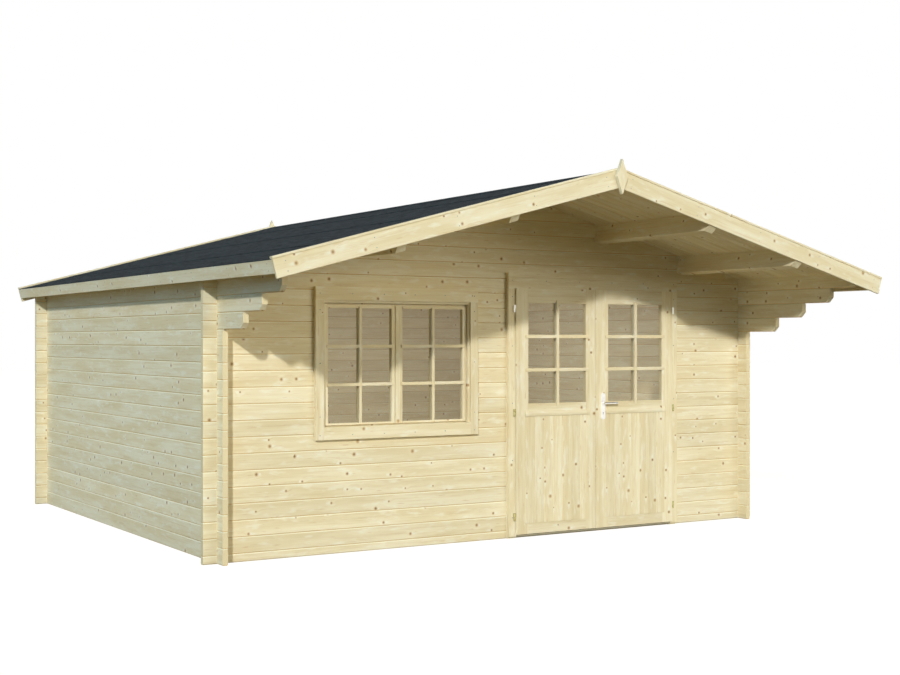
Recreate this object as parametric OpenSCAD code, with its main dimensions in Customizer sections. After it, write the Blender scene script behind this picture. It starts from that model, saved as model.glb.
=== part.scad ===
// Garden log cabin of interlocking spruce logs under a felted gable roof.
// X runs across the front, Y from the front (-Y) to the back and Z up from the ground.

/* [Cabin] */
// Width over the outer faces of the side walls
cabin_w = 4800; // [4200:10:6000]
// Depth over the outer faces of the front and back walls
cabin_d = 4200; // [3000:10:6000]
// Number of logs in each side wall
side_courses = 18; // [18:1:20]
// Full logs of the front and back walls under the gable
front_courses = 17; // [17:1:19]

/* [Logs] */
// Thickness of a wall log
log_t = 40; // [34:1:60]
// Height that one log covers
log_h = 114; // [110:1:130]
// Length of log that stands past the crossing wall
log_end = 100; // [60:5:200]
// Bevel along each long edge of a log
log_bevel = 6; // [3:0.5:8]
// Width of the tongue on top of a log
tongue_w = 12; // [8:1:14]
// Height of the tongue on top of a log
tongue_h = 8; // [5:1:10]
// Play left at every joint between logs
log_gap = 0.3; // [0.2:0.1:0.6]
// Side logs that step forward under the roof
step_logs = 4; // [2:1:5]
// Reach of the lowest stepped log in front of the front wall
step_first = 450; // [300:10:600]
// How much further each stepped log reaches than the one below
step_reach = 300; // [150:10:320]
// Chamfer under the nose of a stepped log
step_chamfer = 42; // [20:1:60]

/* [Roof] */
// Pitch of the roof in degrees
roof_pitch = 14.9; // [12:0.1:20]
// Roof boards past the front wall
front_overhang = 1341; // [1200:1:1600]
// Roof boards past the back wall
back_overhang = 185; // [120:1:400]
// Level reach of the roof boards past the side walls
eave_overhang = 177; // [120:1:300]
// Height taken off the outer edge of the top side log by the roof
top_log_cut = 18; // [12:1:30]
// Thickness of the roof boards
roof_board_t = 19; // [15:1:28]
// Thickness of the roofing felt
felt_t = 3; // [2:0.5:6]
// Height of a bargeboard
barge_h = 120; // [90:1:160]
// Thickness of a bargeboard
barge_t = 20; // [15:1:28]
// Thickness of the cap strip on a bargeboard
cap_t = 16; // [10:1:25]
// Width of the cap strip
cap_w = 40; // [30:1:60]
// Height of an eave board
eave_board_h = 87; // [60:1:120]
// Thickness of an eave board
eave_board_t = 19; // [15:1:28]
// Width of a finial
finial_w = 92; // [60:1:140]
// Height of a finial
finial_h = 242; // [160:1:320]
// Thickness of a finial
finial_t = 28; // [18:1:40]
// Height of the tip of a finial above the cap strips
finial_rise = 56; // [30:1:90]

/* [Purlins] */
// Width of a purlin
purlin_w = 72; // [40:1:90]
// Height of a purlin, square to the roof
purlin_h = 138; // [90:1:160]
// Upper face of the upper purlins, down the slope from the ridge
upper_purlin = 878; // [700:1:1000]
// Upper face of the lower purlins, down the slope from the ridge
lower_purlin = 1765; // [1600:5:1850]
// Chamfer under the ends of a purlin
purlin_chamfer = 35; // [20:5:60]

/* [Window] */
// Middle of the window from the ridge line, to the left
window_x = 990; // [940:5:1010]
// Width of the hole in the wall for the window
window_hole_w = 1280; // [1100:5:1300]
// Full front logs under the window
logs_under_window = 7; // [5:1:9]
// Front logs cut for the window
window_logs = 9; // [7:1:9]
// Width of the outer side casings
window_casing_w = 66; // [50:1:80]
// Lap of the casings on the wall beside the window
window_lap = 40; // [30:1:50]
// Height of the outer casing over the window
window_top_h = 96; // [88:1:120]
// Lap of the outer casing on the log over the window
window_top_lap = 24; // [15:1:35]
// Height of the outer casing under the window
window_bottom_h = 92; // [80:1:110]
// Thickness of the members of the window frame
window_frame_t = 38; // [30:1:44]
// Free height that lets the wall settle over the window
window_settle = 51; // [30:1:60]
// Width of the rails and stiles of a sash
sash_w = 37; // [30:1:50]
// Glass of either sash from the middle of the window
sash_meeting_w = 47; // [40:1:60]
// Meeting edge of the sashes, left of the middle of the window
sash_shift = 17; // [0:1:20]
// Thickness of a sash
sash_t = 38; // [30:1:50]
// Outer face of the sashes behind the outer face of the wall
sash_set = 5; // [0:1:10]

/* [Door] */
// Middle of the doorway from the ridge line, to the right
door_x = 807; // [790:1:850]
// Width of the hole in the wall for the door
door_hole_w = 1601; // [1500:1:1640]
// Width of the outer casings beside the door
door_casing_w = 72; // [60:1:80]
// Lap of the casings on the wall beside the door
door_lap = 40; // [30:1:48]
// Lap of the outer casing on the log over the door
door_top_lap = 51; // [40:1:70]
// Foot of the outer casings above the ground
casing_foot = 14; // [8:1:18]
// Groove along the casing over the door, from its top
head_groove_z = 40; // [25:1:60]
// Width of each side of that groove
head_groove = 6; // [3:0.5:8]
// Reach of the stops past the jambs and the head
stop_w = 20; // [12:1:30]
// Thickness of the door frame over the leaves
head_t = 75; // [60:1:120]
// Underside of a leaf above the ground
leaf_z = 28; // [26:1:60]
// Thickness of a leaf
leaf_t = 40; // [34:1:44]
// Thickness of the lip of a leaf in front of the frame
lip_t = 9; // [7:1:14]
// Overlap of that lip on the frame beside the leaf
leaf_overlap = 10; // [6:1:16]
// Overlap of that lip on the frame over the leaf
head_overlap = 5; // [3:1:12]
// Running gap around a leaf
leaf_gap = 5; // [5:0.5:8]
// Width of the hinge stile of a leaf
stile_w = 113; // [90:1:130]
// Glass of either leaf from the middle of the doorway
meeting_w = 111; // [100:1:120]
// Gap between the leaves, left of the middle of the doorway
meeting_shift = 13; // [0:1:16]
// Height of the top rail of a leaf
top_rail_h = 113; // [90:1:140]
// Height of the bottom rail of a leaf
bottom_rail_h = 109; // [80:1:140]
// Height of the middle rail of a leaf
middle_rail_h = 126; // [110:1:140]
// Top of the middle rail above the ground
middle_rail_z = 1035; // [1000:1:1100]
// Thickness of the board panel between the stiles
panel_t = 18; // [12:1:20]
// How far the board panel stands in front of a leaf
panel_proud = 7; // [5:1:10]
// Lap of the board panel on the stiles and rails
panel_lap = 26; // [15:1:30]
// Height of the drip moulding on the middle rail
drip_h = 50; // [35:1:60]
// How far the drip moulding stands out
drip_t = 14; // [10:1:20]
// Height of its face, above a small chamfer
drip_face_h = 16; // [10:1:24]
// That chamfer under its face
drip_chamfer = 6; // [2:0.5:8]
// Lap of the drip moulding on the stiles
drip_lap = 31; // [20:1:32]
// Thickness of the casings
casing_t = 19; // [14:1:22]
// Outer and inner flanges of the frames past the log faces
flange_t = 16; // [12:1:20]
// Edge of the flanges behind the edge of the casings
flange_back = 2; // [1:0.5:6]
// Thickness of all the glass
glass_t = 4; // [3:0.5:6]
// Depth of glass and panels in their grooves
groove_d = 9; // [5:1:12]
// Play of glass and panels in their grooves
groove_play = 0.3; // [0.2:0.1:0.5]

/* [Hinges and handle] */
// Underside of the lowest hinges above the foot of a leaf
hinge_low = 110; // [80:5:250]
// Underside of the highest hinges below the top of a leaf
hinge_top = 186; // [120:2:400]
// Height of a hinge
hinge_h = 56; // [44:2:80]
// Radius of a hinge barrel
hinge_r = 8; // [6:0.5:9]
// Radius of a hinge pin
hinge_pin_r = 3; // [2.5:0.5:3.5]
// Height of a hinge pin above its knuckle
hinge_pin_h = 20; // [15:1:20]
// Thickness of the lug between a knuckle and the wood
hinge_lug_t = 5; // [4:0.5:6]
// Height of the lever above the ground
lever_z = 1022; // [990:1:1050]
// Spindle of the lever from the meeting edge of its leaf
lever_from_edge = 67; // [50:1:70]
// Length of the lever
lever_l = 122; // [90:1:135]
// Thickness of the lever
lever_d = 16; // [12:1:20]
// Distance of the lever from its plate
lever_off = 38; // [30:1:50]
// Radius of the spindle
spindle_r = 5; // [4:0.5:6]
// Radius of the neck of the lever
neck_r = 7; // [6.5:0.5:7.5]
// Height of a lock plate
lock_plate_h = 211; // [180:1:240]
// Width of a lock plate
lock_plate_w = 40; // [30:1:44]
// Thickness of a lock plate
lock_plate_t = 8; // [5:1:10]
// Lever above the middle of the lock plate
lever_above = 25; // [0:1:40]
// Width of the round part of the keyhole
key_d = 9; // [7:1:12]

/* [Floor] */
// Height of the floor joists
joist_h = 45; // [38:1:70]
// Width of the floor joists
joist_w = 36; // [28:1:60]
// Number of floor joists
joist_count = 8; // [5:1:12]
// Thickness of the floor boards
floor_t = 19; // [16:1:28]
// Space between the floor and the walls
floor_space = 5; // [3:1:15]

/* [Hidden] */
$fn = 48;
spruce = [0.93, 0.86, 0.70];
pale_spruce = [0.96, 0.91, 0.78];
charcoal = [0.20, 0.23, 0.25];
zinc = [0.62, 0.62, 0.52];
satin = [0.80, 0.81, 0.82];
clear_glass = [0.75, 0.85, 0.9, 0.4];
// Small overrun that makes a cut pass through a surface
over = 1;
// Space left under the felt, which meets the boards along a slope
felt_play = 0.1;
// Space between a hinge barrel and the casing
barrel_gap = 0.5;

// Places of the walls, with the whole roof centred on the origin
front_reach = front_overhang + barge_t + finial_t;
back_reach = back_overhang + barge_t + finial_t;
front_y = (front_reach - back_reach - cabin_d) / 2;
back_y = front_y + cabin_d;
side_x = cabin_w / 2;
inside_x = side_x - log_t;

// Roof planes, from the underside of the roof boards at the side walls
eave_z = side_courses * log_h - top_log_cut;
ridge_z = eave_z + side_x * tan(roof_pitch);
slope_l = (side_x + eave_overhang) / cos(roof_pitch);
edge_l = slope_l + eave_board_t;
felt_top = roof_board_t + felt_t;
roof_y0 = front_y - front_overhang;
roof_y1 = back_y + back_overhang;
function under_roof(x) = ridge_z - abs(x) * tan(roof_pitch);
// A point at a distance down the slope and at a height square to it
function on_slope(down, up) = [down * cos(roof_pitch) + up * sin(roof_pitch),
    ridge_z - down * sin(roof_pitch) + up * cos(roof_pitch)];

// Bottom of full front log k, whose courses lie half a log off the side walls'
function front_z(k) = (k - 0.5) * log_h;
gable_first = front_courses + 1;
gable_last = ceil(ridge_z / log_h + 0.5) - 1;
window_first = logs_under_window + 1;
window_last = logs_under_window + window_logs;
window_z0 = front_z(window_first);
window_z1 = front_z(window_last + 1);
window_x0 = -window_x - window_hole_w / 2;
window_x1 = -window_x + window_hole_w / 2;
door_z1 = front_z(front_courses + 1);
door_x0 = door_x - door_hole_w / 2;
door_x1 = door_x + door_hole_w / 2;

// Wood
module log_bar(l, h, foot = false, head = false) {
    mid = log_t / 2;
    groove = tongue_w / 2 + log_gap;
    tongue = tongue_w / 2;
    top = h - log_gap;
    low = foot ? [] : [[mid - groove, 0], [mid - groove, tongue_h + log_gap],
        [mid + groove, tongue_h + log_gap], [mid + groove, 0]];
    high = head ? [] : [[mid + tongue, top], [mid + tongue, top + tongue_h],
        [mid - tongue, top + tongue_h], [mid - tongue, top]];
    outline = concat([[0, log_bevel], [log_bevel, 0]], low,
        [[log_t - log_bevel, 0], [log_t, log_bevel], [log_t, top - log_bevel],
        [log_t - log_bevel, top]], high, [[log_bevel, top], [0, top - log_bevel]]);
    rotate([90, 0, 90]) linear_extrude(l) polygon(outline);
}

// Quarter notches above and below the core of a log, where a wall of logs crosses it
module notches(at, z, h, low = true, high = true) {
    depth = log_h / 4;
    for (x = at) {
        if (low)
            translate([x - log_gap, -over, z - over])
                cube([log_t + 2 * log_gap, log_t + 2 * over, depth + over]);
        if (high)
            translate([x - log_gap, -over, z + h - depth - log_gap])
                cube([log_t + 2 * log_gap, log_t + 2 * over, depth + tongue_h + 2 * over]);
    }
}

// One log of the front or back wall, from x0 to x1, notched over the side walls
module cross_log(k, x0, x1) {
    z = k == 0 ? 0 : front_z(k);
    h = k == 0 ? log_h / 2 : log_h;
    difference() {
        translate([x0, 0, z]) log_bar(x1 - x0, h, foot = k == 0);
        notches([-side_x, side_x - log_t], z, h, low = k > 0);
    }
}

module cross_logs(first, last, x0, x1) {
    for (k = [first : last]) cross_log(k, x0, x1);
}

// The space under the roof boards, run along Y between two places
module under_roof_space(y0, y1) {
    reach = side_x + eave_overhang;
    translate([0, y1, 0]) rotate([90, 0, 0]) linear_extrude(y1 - y0)
        polygon([[-reach, 0], [reach, 0], [reach, under_roof(reach)], [0, ridge_z],
        [-reach, under_roof(reach)]]);
}

// Children repeated at the low corner of each purlin, square to the roof
module at_purlins(y) {
    for (side = [-1, 1], down = [upper_purlin, lower_purlin])
        translate([0, y, ridge_z]) rotate([0, side * roof_pitch, 0])
            translate([side > 0 ? down : -down - purlin_w, 0, -purlin_h]) children();
}

// Logs of a gable, cut to the roof and let in around the purlins
module gable_logs() {
    difference() {
        intersection() {
            for (k = [gable_first : gable_last])
                translate([-inside_x + log_gap, 0, front_z(k)])
                    log_bar(2 * (inside_x - log_gap), log_h);
            under_roof_space(-over, log_t + over);
        }
        at_purlins(-over) translate([-log_gap, 0, -log_gap])
            cube([purlin_w + 2 * log_gap, log_t + 2 * over, 2 * purlin_h]);
    }
}

// Nose of a stepped log, as the length that it reaches past the front wall
function step_of(j) = j - (side_courses - step_logs);
function nose(j) = step_of(j) < 0 ? log_end
    : (j == side_courses - 1 ? front_overhang : step_first + step_of(j) * step_reach);

module side_log(j) {
    z = j * log_h;
    reach = nose(j);
    l = reach + cabin_d + log_end;
    difference() {
        translate([0, -reach, z]) mirror([1, 0, 0]) rotate([0, 0, 90])
            log_bar(l, log_h, foot = j == 0);
        mirror([1, -1, 0])
            notches([0, cabin_d - log_t], z, log_h, high = j < side_courses - 1);
        if (step_of(j) >= 0)
            translate([-over, -reach, z]) rotate([45, 0, 0])
                translate([0, -step_chamfer, -step_chamfer])
                cube([log_t + 2 * over, step_chamfer * (1 + 1 / sqrt(2)), 2 * step_chamfer]);
    }
}

// A side wall with its outer face at the left side of the cabin
module side_wall() {
    intersection() {
        translate([-side_x, front_y, 0])
            for (j = [0 : side_courses - 1]) side_log(j);
        under_roof_space(front_y - front_overhang, back_y + log_end + over);
    }
}

module left_wall() {
    color(spruce) side_wall();
}

module right_wall() {
    color(spruce) mirror([1, 0, 0]) side_wall();
}

module back_wall() {
    color(spruce) translate([0, back_y - log_t, 0])
        cross_logs(0, front_courses, -side_x - log_end, side_x + log_end);
}

module back_gable() {
    color(spruce) translate([0, back_y - log_t, 0]) gable_logs();
}

// The tongue under the window is taken off for its frame
module front_wall_lower() {
    color(spruce) translate([0, front_y, 0]) difference() {
        cross_logs(0, window_first - 1, -side_x - log_end, door_x0);
        translate([window_x0, -over, window_z0 - log_gap])
            cube([window_hole_w, log_t + 2 * over, 2 * tongue_h]);
    }
}

module front_wall_corner() {
    color(spruce) translate([0, front_y, 0])
        cross_logs(window_first, window_last, -side_x - log_end, window_x0);
}

module front_wall_middle() {
    color(spruce) translate([0, front_y, 0])
        cross_logs(window_first, window_last, window_x1, door_x0);
}

module front_wall_over_window() {
    color(spruce) translate([0, front_y, 0])
        cross_logs(window_last + 1, front_courses, -side_x - log_end, door_x0);
}

module front_wall_right() {
    color(spruce) translate([0, front_y, 0])
        cross_logs(0, front_courses, door_x1, side_x + log_end);
}

module front_gable() {
    color(spruce) translate([0, front_y, 0]) gable_logs();
}

// Roof
module purlins() {
    color(spruce) difference() {
        intersection() {
            at_purlins(roof_y0) cube([purlin_w, roof_y1 - roof_y0, 2 * purlin_h]);
            under_roof_space(roof_y0, roof_y1);
        }
        for (end = [roof_y0, roof_y1])
            at_purlins(end) rotate([45, 0, 0])
                translate([-over, -purlin_chamfer / sqrt(2), -purlin_chamfer / sqrt(2)])
                cube([purlin_w + 2 * over, purlin_chamfer * sqrt(2), purlin_chamfer * sqrt(2)]);
    }
}

// A layer of the right slope between two heights, cut plumb at the ridge
module slope_layer(low, high, down, y0, y1) {
    translate([0, y1, 0]) rotate([90, 0, 0]) linear_extrude(y1 - y0)
        polygon([[0, ridge_z + low / cos(roof_pitch)], on_slope(down, low), on_slope(down, high),
        [0, ridge_z + high / cos(roof_pitch)]]);
}

module right_roof_boards() {
    color(spruce) slope_layer(0, roof_board_t, slope_l, roof_y0, roof_y1);
}

module left_roof_boards() {
    mirror([1, 0, 0]) right_roof_boards();
}

module right_roof_felt() {
    color(charcoal) slope_layer(roof_board_t + felt_play, felt_top, edge_l, roof_y0, roof_y1);
}

module left_roof_felt() {
    mirror([1, 0, 0]) right_roof_felt();
}

module right_eave_board() {
    low = roof_board_t - eave_board_h;
    color(pale_spruce) translate([0, roof_y1, 0]) rotate([90, 0, 0])
        linear_extrude(roof_y1 - roof_y0)
        polygon([on_slope(slope_l, low), on_slope(edge_l, low), on_slope(edge_l, roof_board_t),
        on_slope(slope_l, roof_board_t)]);
}

module left_eave_board() {
    mirror([1, 0, 0]) right_eave_board();
}

module right_bargeboards() {
    color(pale_spruce) {
        slope_layer(felt_top - barge_h, felt_top, edge_l, roof_y0 - barge_t, roof_y0);
        slope_layer(felt_top - barge_h, felt_top, edge_l, roof_y1, roof_y1 + barge_t);
    }
}

module left_bargeboards() {
    mirror([1, 0, 0]) right_bargeboards();
}

module right_barge_caps() {
    color(pale_spruce) {
        slope_layer(felt_top, felt_top + cap_t, edge_l, roof_y0 - barge_t, roof_y0 - barge_t + cap_w);
        slope_layer(felt_top, felt_top + cap_t, edge_l, roof_y1 + barge_t - cap_w, roof_y1 + barge_t);
    }
}

module left_barge_caps() {
    mirror([1, 0, 0]) right_barge_caps();
}

module finials() {
    tip_z = ridge_z + (felt_top + cap_t) / cos(roof_pitch) + finial_rise;
    color(pale_spruce)
        for (y = [roof_y0 - barge_t, roof_y1 + barge_t + finial_t])
            translate([0, y, tip_z - finial_h / 2]) rotate([90, 0, 0]) linear_extrude(finial_t)
                polygon([[-finial_w / 2, 0], [0, -finial_h / 2], [finial_w / 2, 0], [0, finial_h / 2]]);
}

// Frames that grip the cut ends of the logs
frame_out = front_y - flange_t;
frame_in = front_y + log_t + flange_t;
flange_lap = min(window_lap, door_lap) - flange_back;

// A block that fills a hole, with flanges over both faces of the wall
module grip_block(x0, x1, z0, z1, flange_z0, flange_z1) {
    translate([x0, frame_out, z0]) cube([x1 - x0, frame_in - frame_out, z1 - z0]);
    for (y = [frame_out, front_y + log_t + groove_play])
        translate([x0 - flange_lap, y, flange_z0])
            cube([x1 - x0 + 2 * flange_lap, flange_t - groove_play, flange_z1 - flange_z0]);
}

// Casing boards around a hole, butted under the head board
module casing_boards(x0, x1, z0, z1, side_w, top_h, bottom_h, y) {
    translate([x0, y, z1 - top_h]) cube([x1 - x0, casing_t, top_h]);
    for (x = [x0, x1 - side_w])
        translate([x, y, z0]) cube([side_w, casing_t, z1 - top_h - z0 - groove_play]);
    if (bottom_h > 0)
        translate([x0 + side_w + groove_play, y, z0])
            cube([x1 - x0 - 2 * side_w - 2 * groove_play, casing_t, bottom_h]);
}

// Window
window_top = window_z1 - window_settle;
sash_x0 = window_x0 + window_frame_t;
sash_x1 = window_x1 - window_frame_t;
sash_z0 = window_z0 + window_frame_t + groove_play;
sash_y = front_y + sash_set;
sash_h = window_top - window_frame_t - groove_play - sash_z0;
sash_edge_x = -window_x - sash_shift;
pane_w = -window_x - sash_x0 - sash_w - sash_meeting_w;
pane_h = sash_h - 2 * sash_w;

module window_frame() {
    color(spruce) difference() {
        grip_block(window_x0, window_x1, window_z0, window_top, window_z0 - flange_lap,
            window_z1 + window_top_lap);
        translate([sash_x0, frame_out - over, window_z0 + window_frame_t])
            cube([sash_x1 - sash_x0, frame_in - frame_out + 2 * over,
                window_top - window_z0 - 2 * window_frame_t]);
    }
}

// One sash from its outer edge at x = 0: rails and stiles, rebated round the glass
module sash(w) {
    difference() {
        translate([groove_play, 0, 0]) cube([w - 2 * groove_play, sash_t, sash_h]);
        translate([sash_w, -over, sash_w]) cube([pane_w, sash_t + 2 * over, pane_h]);
        translate([sash_w - groove_d, sash_t / 2, sash_w - groove_d])
            cube([pane_w + 2 * groove_d, sash_t, pane_h + 2 * groove_d]);
    }
}

module sash_pane() {
    inset = groove_d - groove_play;
    translate([sash_w - inset, sash_t / 2, sash_w - inset])
        cube([pane_w + 2 * inset, glass_t, pane_h + 2 * inset]);
}

module place_left_sash() {
    translate([sash_x0, sash_y, sash_z0]) children();
}

module place_right_sash() {
    translate([sash_x1, sash_y, sash_z0]) mirror([1, 0, 0]) children();
}

module left_window_sash() {
    color(pale_spruce) place_left_sash() sash(sash_edge_x - sash_x0);
}

module right_window_sash() {
    color(pale_spruce) place_right_sash() sash(sash_x1 - sash_edge_x);
}

module window_glass() {
    color(clear_glass) {
        place_left_sash() sash_pane();
        place_right_sash() sash_pane();
    }
}

module window_casing() {
    color(pale_spruce)
        casing_boards(window_x0 - window_lap, window_x1 + window_lap, window_z0 - window_lap,
            window_z1 + window_top_lap, window_casing_w, window_top_h, window_bottom_h,
            frame_out - casing_t);
}

module window_inner_casing() {
    color(spruce)
        casing_boards(window_x0 - window_lap, window_x1 + window_lap, window_z0 - window_lap,
            window_z1 + window_top_lap, window_casing_w, window_top_h, window_bottom_h, frame_in);
}

// Door
jamb_t = door_casing_w - door_lap;
leaf_x0 = door_x0 + jamb_t - leaf_overlap;
leaf_x1 = door_x1 - jamb_t + leaf_overlap;
meeting_x = door_x - meeting_shift;
left_leaf_w = meeting_x - leaf_gap / 2 - leaf_x0;
right_leaf_w = leaf_x1 - meeting_x - leaf_gap / 2;
casing_y = frame_out - casing_t;
leaf_y = casing_y - leaf_gap - lip_t;
stop_y = leaf_y + leaf_t + leaf_gap;
head_z = door_z1 - head_t;
leaf_h = head_z + head_overlap - leaf_z;
sill_h = leaf_z - leaf_gap;
floor_top = joist_h + floor_t;

// Jambs and head with the stops that the leaves close against
module door_frame() {
    clear_w = door_hole_w - 2 * jamb_t;
    color(spruce) difference() {
        grip_block(door_x0, door_x1, 0, door_z1 - groove_play, 0, door_z1 + door_top_lap);
        translate([door_x0 + jamb_t, frame_out - over, -over])
            cube([clear_w, stop_y - frame_out + over, head_z + over]);
        translate([door_x0 + jamb_t + stop_w, frame_out - over, -over])
            cube([clear_w - 2 * stop_w, frame_in - frame_out + 2 * over, head_z - stop_w + over]);
    }
}

// Threshold, low under the leaves and raised behind them up to the floor
module door_threshold() {
    clear_w = door_hole_w - 2 * jamb_t - 2 * groove_play;
    color(spruce) {
        translate([door_x0 + jamb_t + groove_play, casing_y, casing_foot])
            cube([clear_w, stop_y - groove_play - casing_y, sill_h - casing_foot]);
        translate([door_x0 + jamb_t + groove_play + stop_w, stop_y - groove_play, 0])
            cube([clear_w - 2 * stop_w, frame_in - stop_y + groove_play, floor_top]);
    }
}

// The head board has a groove along it, a little under its top
module door_casing() {
    top = door_z1 + door_top_lap;
    w = door_hole_w + 2 * door_lap;
    color(pale_spruce) difference() {
        casing_boards(door_x0 - door_lap, door_x1 + door_lap, casing_foot, top, door_casing_w,
            top - head_z, 0, casing_y);
        translate([door_x, casing_y, top - head_groove_z]) rotate([45, 0, 0])
            cube([w + 2 * over, head_groove, head_groove], center = true);
    }
}

module door_inner_casing() {
    color(spruce)
        casing_boards(door_x0 - door_lap, door_x1 + door_lap, floor_top, door_z1 + door_top_lap,
            door_casing_w, door_z1 + door_top_lap - head_z, 0, frame_in);
}

// Heights in a leaf, from its foot, and the width between its stiles
middle_top = middle_rail_z - leaf_z;
middle_low = middle_top - middle_rail_h;
lights_h = leaf_h - top_rail_h - middle_top;
boards_h = middle_low - bottom_rail_h;
drip_z = middle_low + panel_lap;
leaf_clear_w = door_x - leaf_x0 - stile_w - meeting_w;

// A leaf with its hinge edge at x = 0, its outer face at y = 0 and its foot at z = 0
module leaf_frame(w) {
    inset = leaf_overlap + leaf_gap;
    difference() {
        union() {
            cube([w, lip_t, leaf_h]);
            translate([inset, 0, 0])
                cube([w - inset, leaf_t, leaf_h - head_overlap - leaf_gap]);
            translate([stile_w - drip_lap, 0, drip_z]) rotate([90, 0, 90])
                linear_extrude(leaf_clear_w + 2 * drip_lap)
                polygon([[0, 0], [drip_chamfer / 2 - drip_t, 0], [-drip_t, drip_chamfer],
                    [-drip_t, drip_chamfer + drip_face_h], [0, drip_h]]);
        }
        translate([stile_w, -over, middle_top])
            cube([leaf_clear_w, leaf_t + 2 * over, lights_h]);
        translate([stile_w - groove_d, leaf_t / 2, middle_top - groove_d])
            cube([leaf_clear_w + 2 * groove_d, leaf_t, lights_h + 2 * groove_d]);
        translate([stile_w, -over, bottom_rail_h])
            cube([leaf_clear_w, leaf_t + 2 * over, boards_h]);
    }
}

// The boards fill the lower part of a leaf and lap over its stiles and rails
module leaf_panel() {
    translate([stile_w - panel_lap, -panel_proud, bottom_rail_h - panel_lap])
        cube([leaf_clear_w + 2 * panel_lap, panel_proud, boards_h + 2 * panel_lap - groove_play]);
    translate([stile_w + groove_play, -over, bottom_rail_h + groove_play])
        cube([leaf_clear_w - 2 * groove_play, panel_t + over, boards_h - 2 * groove_play]);
}

module leaf_glass() {
    inset = groove_d - groove_play;
    translate([stile_w - inset, leaf_t / 2, middle_top - inset])
        cube([leaf_clear_w + 2 * inset, glass_t, lights_h + 2 * inset]);
}

// Lift-off hinges, with the barrel on the casing beside the lip of the leaf
casing_face = lip_t + leaf_gap;
pin_x = -leaf_gap - hinge_r;
pin_y = casing_face - barrel_gap - hinge_r;
hinge_zs = [hinge_low, (hinge_low + leaf_h - hinge_top) / 2, leaf_h - hinge_top];
knuckle_h = hinge_h / 2;

// The half on the leaf: the upper knuckle and its lug
module leaf_hinges() {
    for (z = hinge_zs)
        translate([pin_x, pin_y, z + knuckle_h + log_gap]) difference() {
            union() {
                cylinder(r = hinge_r, h = knuckle_h - log_gap);
                translate([0, -hinge_lug_t / 2, 0])
                    cube([-pin_x, hinge_lug_t, knuckle_h - log_gap]);
            }
            translate([0, 0, -over])
                cylinder(r = hinge_pin_r + log_gap, h = hinge_pin_h + log_gap + over);
        }
}

// The half on the casing: the lower knuckle with the pin, and its lug
module casing_hinges() {
    for (z = hinge_zs)
        translate([pin_x, pin_y, z]) {
            cylinder(r = hinge_r, h = knuckle_h);
            translate([0, 0, over]) cylinder(r = hinge_pin_r, h = knuckle_h + hinge_pin_h - over);
            translate([-hinge_lug_t / 2, 0, 0])
                cube([hinge_lug_t, casing_face - pin_y, knuckle_h]);
        }
}

module place_left() {
    translate([leaf_x0, leaf_y, leaf_z]) children();
}

module place_right() {
    translate([leaf_x1, leaf_y, leaf_z]) mirror([1, 0, 0]) children();
}

module door_frame_hinges() {
    color(zinc) {
        place_left() casing_hinges();
        place_right() casing_hinges();
    }
}

module left_door_leaf() {
    color(spruce) place_left() leaf_frame(left_leaf_w);
}

module left_door_panel() {
    color(spruce) place_left() leaf_panel();
}

module left_door_glass() {
    color(clear_glass) place_left() leaf_glass();
}

module left_door_hinges() {
    color(zinc) place_left() leaf_hinges();
}

// The handle sits on the meeting stile of the right leaf
lever_x = leaf_x1 - right_leaf_w + lever_from_edge;
spindle_hole_r = spindle_r + 1;

module right_door_leaf() {
    color(spruce) difference() {
        place_right() leaf_frame(right_leaf_w);
        translate([lever_x, leaf_y - over, lever_z]) rotate([-90, 0, 0])
            cylinder(r = spindle_hole_r, h = leaf_t + 2 * over);
    }
}

module right_door_panel() {
    color(spruce) place_right() leaf_panel();
}

module right_door_glass() {
    color(clear_glass) place_right() leaf_glass();
}

module right_door_hinges() {
    color(zinc) place_right() leaf_hinges();
}

// A long plate with round ends, its keyhole under the spindle
module lock_plate() {
    straight = (lock_plate_h - lock_plate_w) / 2;
    key_z = -lever_above - lock_plate_h / 4;
    difference() {
        translate([0, -lever_above, 0]) union() {
            translate([-lock_plate_w / 2, -straight, 0])
                cube([lock_plate_w, 2 * straight, lock_plate_t]);
            for (up = [-1, 1])
                translate([0, up * straight, 0]) cylinder(d = lock_plate_w, h = lock_plate_t);
        }
        translate([0, key_z, -over]) cylinder(d = key_d, h = lock_plate_t + 2 * over);
        translate([-key_d / 4, key_z - 1.5 * key_d, -over])
            cube([key_d / 2, 1.5 * key_d, lock_plate_t + 2 * over]);
        translate([0, 0, -over]) cylinder(r = spindle_hole_r, h = lock_plate_t + 2 * over);
    }
}

module lock_plates() {
    color(satin) {
        translate([lever_x, leaf_y, lever_z]) rotate([90, 0, 0]) lock_plate();
        translate([lever_x, leaf_y + leaf_t, lever_z]) rotate([-90, 0, 0]) mirror([0, 1, 0]) lock_plate();
    }
}

// A lever on its neck, standing off the plate towards -Y
module lever() {
    arm_y = lever_off - lever_d / 2;
    translate([0, -arm_y, 0]) {
        rotate([-90, 0, 0]) cylinder(r = neck_r, h = arm_y);
        translate([-neck_r - lever_d / 4, 0, 0]) rotate([0, 90, 0])
            cylinder(r = lever_d / 2, h = neck_r + lever_d / 4 + lever_l);
    }
}

// Spindle through the stile with a lever on each end
module door_handle() {
    out_y = leaf_y - lock_plate_t - log_gap;
    in_y = leaf_y + leaf_t + lock_plate_t + log_gap;
    color(satin) {
        translate([lever_x, out_y - over, lever_z]) rotate([-90, 0, 0])
            cylinder(r = spindle_r, h = in_y - out_y + 2 * over);
        translate([lever_x, out_y, lever_z]) lever();
        translate([lever_x, in_y, lever_z]) mirror([0, 1, 0]) lever();
    }
}

// Floor
floor_x0 = -inside_x + floor_space;
floor_y0 = frame_in + floor_space;
floor_w = 2 * (inside_x - floor_space);
floor_d = back_y - log_t - floor_space - floor_y0;

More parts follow.
